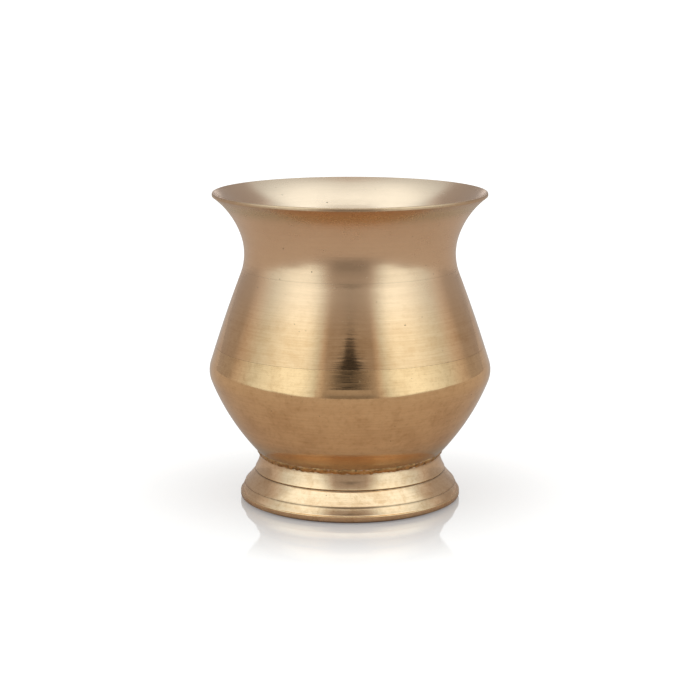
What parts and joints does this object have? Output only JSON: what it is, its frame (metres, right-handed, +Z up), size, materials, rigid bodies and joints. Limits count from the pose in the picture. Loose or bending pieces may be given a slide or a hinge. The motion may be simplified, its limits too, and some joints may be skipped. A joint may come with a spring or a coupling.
{
  "type": "kalash pot",
  "caption": "Round-bellied metal water pot with a conical shoulder, a narrow neck, a wide flared mouth and a stepped hollow foot; stands upright to hold water or offerings.",
  "frame": {"origin": "centre of the foot ring's resting plane, on the pot's axis", "axes": "+Z up along the pot's axis, from the foot to the mouth; X and Y are interchangeable, because the pot is turned"},
  "size_m": [0.1002, 0.1002, 0.11],
  "materials": {
    "polished_brass": "lathe-polished, fine rings round the axis",
    "brushed_brass": "lathe-brushed, slightly dulled",
    "turned_foot_brass": "turned and polished casting",
    "braze_filler": "rough, darkened filler"
  },
  "bodies": {
    "root": {"upper_shell": "polished_brass", "lower_bowl": "brushed_brass", "belly_braze": "braze_filler", "foot_ring": "turned_foot_brass", "foot_braze": "braze_filler"}
  },
  "joints": []
}
